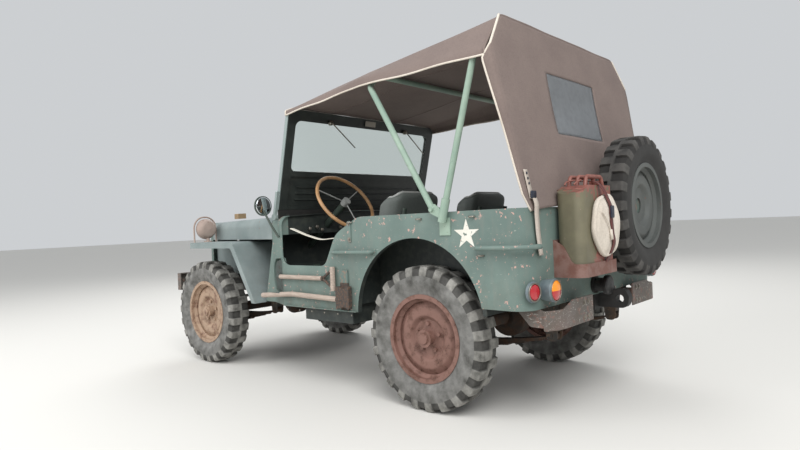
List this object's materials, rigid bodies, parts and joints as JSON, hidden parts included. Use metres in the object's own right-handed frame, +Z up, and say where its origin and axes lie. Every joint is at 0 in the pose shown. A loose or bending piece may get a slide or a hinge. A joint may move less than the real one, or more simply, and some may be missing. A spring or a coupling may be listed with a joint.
{
  "type": "army 4x4 car with a canvas top",
  "caption": "Open four-wheel-drive army car with canvas top on bows, steered front wheels, tilting bonnet, rear spare wheel, fuel can, lamps and tools.",
  "frame": {"origin": "ground level under the middle of the car's length and width, measured on its bounding box", "axes": "+Z up, +X to the driver's left side, the car's front faces -Y"},
  "size_m": [1.594, 3.334, 1.86],
  "materials": {
    "body_green": "worn matt grey-green paint with primer and bare chips",
    "frame_dark": "dirty dark paint",
    "bow_green": "pale worn green paint",
    "primer_rust": "rusty red-brown worn paint",
    "wheel_rust": "red-brown rusty paint",
    "grey_rim": "grey worn paint",
    "olive_can": "olive paint with red primer patches",
    "lamp_tan": "tan paint",
    "dark_green": "dark green paint",
    "cast_iron": "dirty cast iron",
    "spring_steel": "rusty spring steel",
    "clear_glass": "clear glass",
    "clear_sheet": "cloudy clear plastic sheet",
    "canvas": "taupe cotton canvas",
    "cream_canvas": "cream cotton canvas",
    "seat_cloth": "dark grey-green coated cloth",
    "webbing": "pale cotton webbing",
    "tool_wood": "pale worn ash",
    "tyre": "dusty dark grey rubber",
    "wheel_rim_tan": "tan moulded rim",
    "lamp_lens": "red and amber lenses in a grey-green drum"
  },
  "bodies": {
    "car": {"body_handles": "bow_green", "body_tub": "body_green", "bumpers": "body_green", "canvas_bucket": "cream_canvas", "canvas_top": "canvas", "cowl": "body_green", "curtain_window": "clear_sheet", "door_strap": "webbing", "driving_lamp": "lamp_tan", "engine_block": "cast_iron", "exhaust": "primer_rust", "frame_rails": "frame_dark", "front_axle": "cast_iron", "front_seat_pads": "seat_cloth", "front_wings": "body_green", "fuel_tank": "body_green", "grille": "body_green", "headlamps": "dark_green", "jerrycan": "olive_can", "leaf_springs": "spring_steel", "mirror": "bow_green", "pedals_levers": "dark_green", "pintle_hook": "frame_dark", "propeller_shafts": "frame_dark", "rear_axle": "cast_iron", "rear_carriers": "primer_rust", "rear_seat_pads": "seat_cloth", "seat_frames": "dark_green", "shovel_and_axe": "tool_wood", "spare_tyre": "tyre", "spare_wheel": "grey_rim", "steering_column": "dark_green", "tail_lamps_socket": "lamp_lens", "top_bows": "bow_green", "windscreen_frame": "body_green", "windscreen_glass": "clear_glass"},
    "bonnet": {"bonnet": "body_green", "bonnet_blocks": "tool_wood"},
    "knuckle_left": {"knuckle_left": "cast_iron"},
    "knuckle_right": {"knuckle_right": "cast_iron"},
    "steering_wheel": {"steering_wheel": "wheel_rim_tan"},
    "bellcrank": {"bellcrank": "cast_iron"},
    "tie_rods": {"tie_rods": "frame_dark"},
    "drag_link": {"drag_link": "frame_dark"},
    "pitman_arm": {"pitman_arm": "cast_iron"},
    "road_wheel_front_left": {"tyre_front_left": "tyre", "wheel_front_left": "wheel_rust"},
    "road_wheel_front_right": {"tyre_front_right": "tyre", "wheel_front_right": "wheel_rust"},
    "road_wheel_rear_left": {"tyre_rear_left": "tyre", "wheel_rear_left": "wheel_rust"},
    "road_wheel_rear_right": {"tyre_rear_right": "tyre", "wheel_rear_right": "wheel_rust"}
  },
  "joints": [
    {"name": "bonnet_opens", "type": "hinge", "parent": "car", "child": "bonnet", "pos_m": [0, -0.384, 1.047], "axis": [-1, 0, 0], "range_deg": [0, 105]},
    {"name": "steer_left", "type": "hinge", "parent": "car", "child": "knuckle_left", "pos_m": [0.545, -1.18, 0.362], "axis": [0, 0, 1], "range_deg": [-27, 27]},
    {"name": "steer_right", "type": "hinge", "parent": "car", "child": "knuckle_right", "pos_m": [-0.545, -1.18, 0.362], "axis": [0, 0, 1], "range_deg": [-27, 27]},
    {"name": "roll_front_left", "type": "hinge", "parent": "knuckle_left", "child": "road_wheel_front_left", "pos_m": [0.622, -1.18, 0.362], "axis": [1, 0, 0], "continuous": true},
    {"name": "roll_front_right", "type": "hinge", "parent": "knuckle_right", "child": "road_wheel_front_right", "pos_m": [-0.622, -1.18, 0.362], "axis": [1, 0, 0], "continuous": true},
    {"name": "roll_rear_left", "type": "hinge", "parent": "car", "child": "road_wheel_rear_left", "pos_m": [0.622, 0.852, 0.362], "axis": [1, 0, 0], "continuous": true},
    {"name": "roll_rear_right", "type": "hinge", "parent": "car", "child": "road_wheel_rear_right", "pos_m": [-0.622, 0.852, 0.362], "axis": [1, 0, 0], "continuous": true},
    {"name": "steering_wheel_turns", "type": "hinge", "parent": "car", "child": "steering_wheel", "pos_m": [0.35, -0.019, 1.086], "axis": [0, 0.809, 0.5878], "range_deg": [-351, 351]},
    {"name": "bellcrank_turns", "type": "hinge", "parent": "car", "child": "bellcrank", "pos_m": [0.13, -1.18, 0.448], "axis": [0, 0, 1], "range_deg": [-27, 27]},
    {"name": "tie_rods_swing", "type": "hinge", "parent": "bellcrank", "child": "tie_rods", "pos_m": [0.13, -1.31, 0.423], "axis": [0, 0, 1], "range_deg": [-27, 27]},
    {"name": "drag_link_swings", "type": "hinge", "parent": "bellcrank", "child": "drag_link", "pos_m": [0.254, -1.18, 0.423], "axis": [0, 0, 1], "range_deg": [-27, 27]},
    {"name": "pitman_arm_swings", "type": "hinge", "parent": "car", "child": "pitman_arm", "pos_m": [0.285, -0.68, 0.606], "axis": [1, 0, 0], "range_deg": [-18, 18]}
  ],
  "couplings": [
    {"joint": "steer_right", "follows": "steer_left", "ratio": 1},
    {"joint": "steering_wheel_turns", "follows": "steer_left", "ratio": 13},
    {"joint": "bellcrank_turns", "follows": "steer_left", "ratio": 1},
    {"joint": "tie_rods_swing", "follows": "steer_left", "ratio": -1},
    {"joint": "drag_link_swings", "follows": "steer_left", "ratio": -1},
    {"joint": "pitman_arm_swings", "follows": "steer_left", "ratio": 0.6526}
  ]
}
